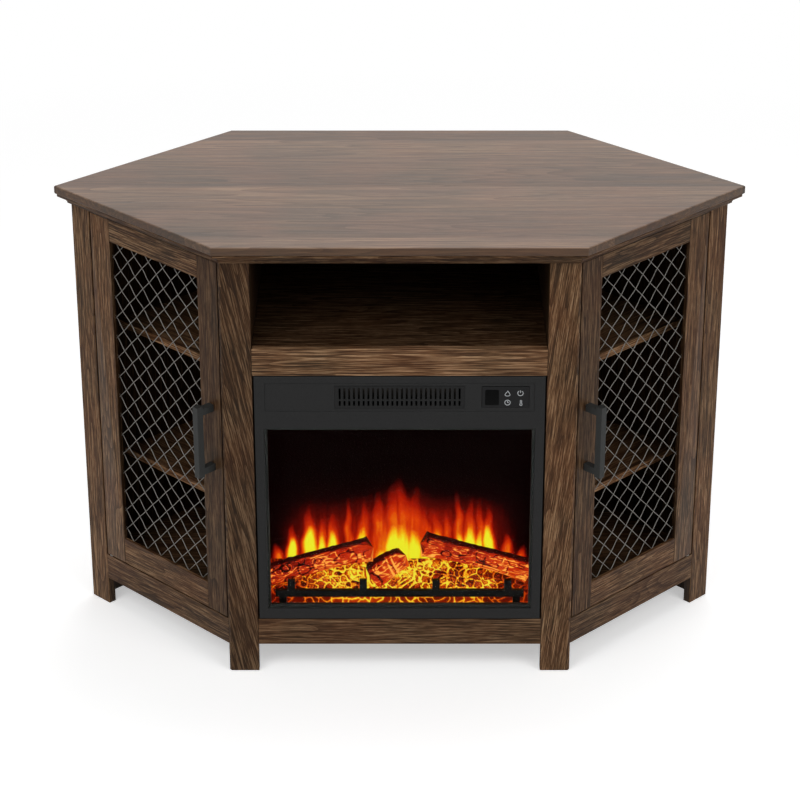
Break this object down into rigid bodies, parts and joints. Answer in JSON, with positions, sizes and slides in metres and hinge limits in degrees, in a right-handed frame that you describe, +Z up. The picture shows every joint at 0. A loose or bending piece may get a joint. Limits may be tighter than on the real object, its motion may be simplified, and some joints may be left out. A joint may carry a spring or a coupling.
{
  "type": "fireplace tv stand",
  "caption": "Corner cabinet for a television with an open media niche, wire-mesh side doors and an electric fireplace insert.",
  "frame": {"origin": "floor level, in the middle of the plan of the top", "axes": "+X along the length, to the right as seen from the front; +Y from the fireplace front to the back; +Z up"},
  "size_m": [1.2, 0.582, 0.8175],
  "materials": {
    "top_wood": "weathered brown oak laminate, satin",
    "body_wood": "dark rustic oak laminate, satin",
    "inner_wood": "dark laminate, matt",
    "back_board": "printed hardboard, matt",
    "black_metal": "black powder coat, satin",
    "dark_metal": "dark grey powder coat, satin",
    "wire": "grey crimped wire, satin",
    "steel": "plain steel",
    "glass": "clear tempered glass, gloss",
    "bark": "cast resin bark, matt",
    "ember": "translucent cast resin coals, matt",
    "smoked": "smoked translucent screen, satin",
    "panel_black": "black touch panel, gloss"
  },
  "bodies": {
    "cabinet": {"top_panel": "top_wood", "top_moulding_front": "body_wood", "top_moulding_left": "body_wood", "top_moulding_right": "body_wood", "front_leg_left": "body_wood", "front_leg_right": "body_wood", "side_post_left": "body_wood", "side_post_right": "body_wood", "side_panel_left": "body_wood", "side_panel_right": "body_wood", "bottom_panel": "inner_wood", "partition_left": "inner_wood", "partition_right": "inner_wood", "niche_shelf": "body_wood", "niche_rail": "body_wood", "side_shelf_upper_left": "inner_wood", "side_shelf_lower_left": "inner_wood", "side_shelf_upper_right": "inner_wood", "side_shelf_lower_right": "inner_wood", "bottom_rail_front": "body_wood", "bottom_rail_left": "body_wood", "bottom_rail_right": "body_wood", "back_panel": "back_board", "pivot_bush_lower_left": "dark_metal", "pivot_bush_upper_left": "dark_metal", "pivot_bush_lower_right": "dark_metal", "pivot_bush_upper_right": "dark_metal", "insert_bezel": "black_metal", "window_glass": "glass", "outlet_grille": "black_metal", "control_panel": "panel_black", "insert_housing": "black_metal", "flame_screen": "smoked", "ember_bed": "ember", "log_left": "bark", "log_centre": "bark", "log_right": "bark", "log_grate": "black_metal", "flame_rotor_motor": "steel", "blower_motor": "steel", "blower_bearing_bracket": "steel", "heating_element": "steel"},
    "left_door": {"door_handle_stile_left": "body_wood", "door_hinge_stile_left": "body_wood", "door_bottom_rail_left": "body_wood", "door_top_rail_left": "body_wood", "door_wire_mesh_left": "wire", "door_handle_left": "dark_metal", "door_pivot_pin_lower_left": "steel", "door_pivot_pin_upper_left": "steel"},
    "right_door": {"door_handle_stile_right": "body_wood", "door_hinge_stile_right": "body_wood", "door_bottom_rail_right": "body_wood", "door_top_rail_right": "body_wood", "door_wire_mesh_right": "wire", "door_handle_right": "dark_metal", "door_pivot_pin_lower_right": "steel", "door_pivot_pin_upper_right": "steel"},
    "rotor": {"flame_rotor": "steel"},
    "blower": {"blower_wheel": "steel"}
  },
  "joints": [
    {"name": "left_door_hinge", "type": "hinge", "parent": "cabinet", "child": "left_door", "pos_m": [-0.52759, -0.02432, 0.442], "axis": [0, 0, -1], "range_deg": [0, 105]},
    {"name": "right_door_hinge", "type": "hinge", "parent": "cabinet", "child": "right_door", "pos_m": [0.52759, -0.02432, 0.442], "axis": [0, 0, 1], "range_deg": [0, 105]},
    {"name": "flame_rotor_spin", "type": "hinge", "parent": "cabinet", "child": "rotor", "pos_m": [0, -0.1285, 0.16], "axis": [1, 0, 0], "continuous": true},
    {"name": "blower_spin", "type": "hinge", "parent": "cabinet", "child": "blower", "pos_m": [0, -0.1715, 0.53], "axis": [1, 0, 0], "continuous": true}
  ]
}
